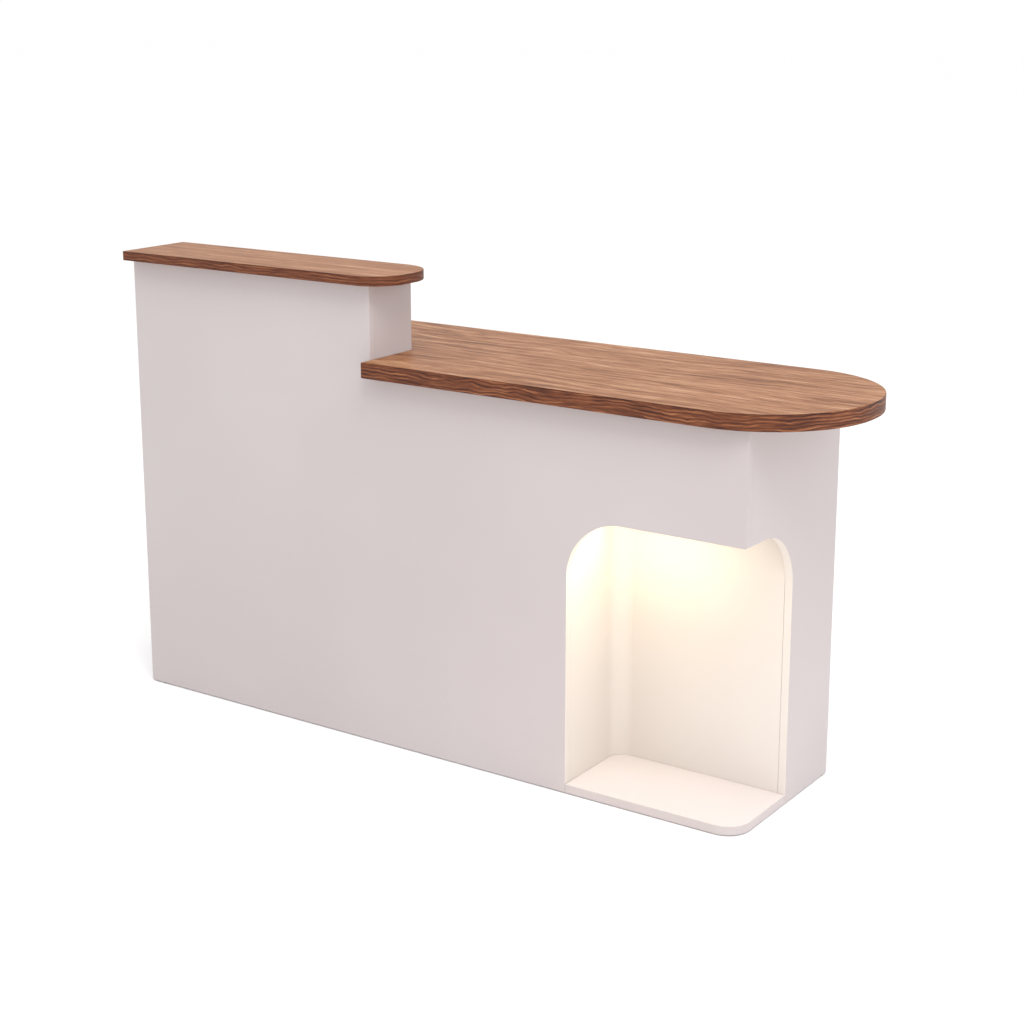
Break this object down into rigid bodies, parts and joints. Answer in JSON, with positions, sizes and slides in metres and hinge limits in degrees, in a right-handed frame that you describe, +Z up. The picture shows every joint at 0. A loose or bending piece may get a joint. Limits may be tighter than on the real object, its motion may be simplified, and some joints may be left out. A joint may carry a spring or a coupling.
{
  "type": "checkout counter",
  "caption": "Two-tier checkout counter with walnut tops, a lit open corner niche, drawers, a keyboard tray and a rear cupboard.",
  "frame": {"origin": "on the floor, under the middle of the overall box", "axes": "+X along the length from the tall end to the round end of the low worktop, +Y from the customer's face to the operator, +Z up"},
  "size_m": [1.8, 0.495, 1.081],
  "materials": {
    "board_lacquer": "satin off-white lacquer on board",
    "walnut_top": "warm walnut, satin, grain along the length",
    "birch_ply": "clear-coated birch plywood",
    "anodised_aluminium": "anodised",
    "led_flex": "flexible circuit tape",
    "opal_diffuser": "opal, lit from behind in warm white",
    "black_plastic": "fine texture",
    "white_lead": "smooth sheath",
    "black_lead": "smooth sheath",
    "glide_nylon": "smooth",
    "pull_steel": "brushed",
    "slide_steel": "zinc plated",
    "runner_steel": "black zinc",
    "hinge_steel": "nickel plated",
    "lock_nickel": "nickel plated"
  },
  "bodies": {
    "counter": {"front_panel": "board_lacquer", "left_end_panel": "board_lacquer", "right_end_panel": "board_lacquer", "riser_end_panel": "board_lacquer", "riser_back_panel": "board_lacquer", "worktop": "walnut_top", "ledge_top": "walnut_top", "pedestal_partition": "board_lacquer", "pedestal_bottom": "board_lacquer", "pedestal_plinth": "board_lacquer", "pedestal_shelf": "board_lacquer", "front_rail": "board_lacquer", "niche_partition": "board_lacquer", "base_board": "board_lacquer", "niche_back_wall": "board_lacquer", "niche_corner_cove": "board_lacquer", "niche_ceiling": "board_lacquer", "led_channel": "anodised_aluminium", "led_strip": "led_flex", "led_diffuser": "opal_diffuser", "led_driver": "black_plastic", "led_lead": "white_lead", "supply_lead": "black_lead", "power_inlet": "black_plastic", "grommet_ring": "black_plastic", "floor_glide_1": "glide_nylon", "floor_glide_2": "glide_nylon", "floor_glide_3": "glide_nylon", "floor_glide_4": "glide_nylon", "cash_slide_outer_left": "slide_steel", "cash_slide_outer_right": "slide_steel", "storage_slide_outer_left": "slide_steel", "storage_slide_outer_right": "slide_steel", "tray_runner_left": "runner_steel", "tray_runner_right": "runner_steel", "cupboard_shelf": "board_lacquer", "hinge_frame_leaf": "hinge_steel"},
    "cash_drawer": {"cash_drawer_front": "board_lacquer", "cash_drawer_box": "birch_ply", "cash_drawer_pull": "pull_steel", "cash_slide_inner_left": "slide_steel", "cash_slide_inner_right": "slide_steel", "lock_barrel": "lock_nickel"},
    "cash_slide_middle": {"cash_slide_middle_left": "slide_steel", "cash_slide_middle_right": "slide_steel"},
    "cash_lock": {"lock_plug": "lock_nickel"},
    "storage_drawer": {"storage_drawer_front": "board_lacquer", "storage_drawer_box": "birch_ply", "storage_drawer_pull": "pull_steel", "storage_slide_inner_left": "slide_steel", "storage_slide_inner_right": "slide_steel"},
    "storage_slide_middle": {"storage_slide_middle_left": "slide_steel", "storage_slide_middle_right": "slide_steel"},
    "keyboard_tray": {"keyboard_tray": "board_lacquer"},
    "cupboard_door": {"cupboard_door": "board_lacquer", "door_pull": "pull_steel", "hinge_door_leaf": "hinge_steel"},
    "switch_rocker": {"switch_rocker": "black_plastic"},
    "grommet_cap": {"grommet_cap": "black_plastic"}
  },
  "joints": [
    {"name": "cash_drawer_slide", "type": "slide", "parent": "counter", "child": "cash_drawer", "axis": [0, 1, 0], "range_m": [0, 0.33]},
    {"name": "cash_middle_slide", "type": "slide", "parent": "counter", "child": "cash_slide_middle", "axis": [0, 1, 0], "range_m": [0, 0.165]},
    {"name": "lock_turn", "type": "hinge", "parent": "cash_drawer", "child": "cash_lock", "pos_m": [-0.661, 0.1805, 0.571], "axis": [0, -1, 0], "range_deg": [0, 90]},
    {"name": "storage_drawer_slide", "type": "slide", "parent": "counter", "child": "storage_drawer", "axis": [0, 1, 0], "range_m": [0, 0.33]},
    {"name": "storage_middle_slide", "type": "slide", "parent": "counter", "child": "storage_slide_middle", "axis": [0, 1, 0], "range_m": [0, 0.165]},
    {"name": "keyboard_tray_slide", "type": "slide", "parent": "counter", "child": "keyboard_tray", "axis": [0, 1, 0], "range_m": [0, 0.18]},
    {"name": "cupboard_door_hinge", "type": "hinge", "parent": "counter", "child": "cupboard_door", "pos_m": [0.72, 0.2081, 0.44], "axis": [0, 0, -1], "range_deg": [0, 110]},
    {"name": "switch_rocker_tilt", "type": "hinge", "parent": "counter", "child": "switch_rocker", "pos_m": [0.3067, 0.1165, 0.747], "axis": [0, -1, 0], "range_deg": [0, 16]},
    {"name": "grommet_cap_turn", "type": "hinge", "parent": "counter", "child": "grommet_cap", "pos_m": [-0.5, 0.0865, 0.8923], "axis": [0, 0, 1], "continuous": true}
  ],
  "couplings": [
    {"joint": "cash_middle_slide", "follows": "cash_drawer_slide", "ratio": 0.5},
    {"joint": "storage_middle_slide", "follows": "storage_drawer_slide", "ratio": 0.5}
  ]
}
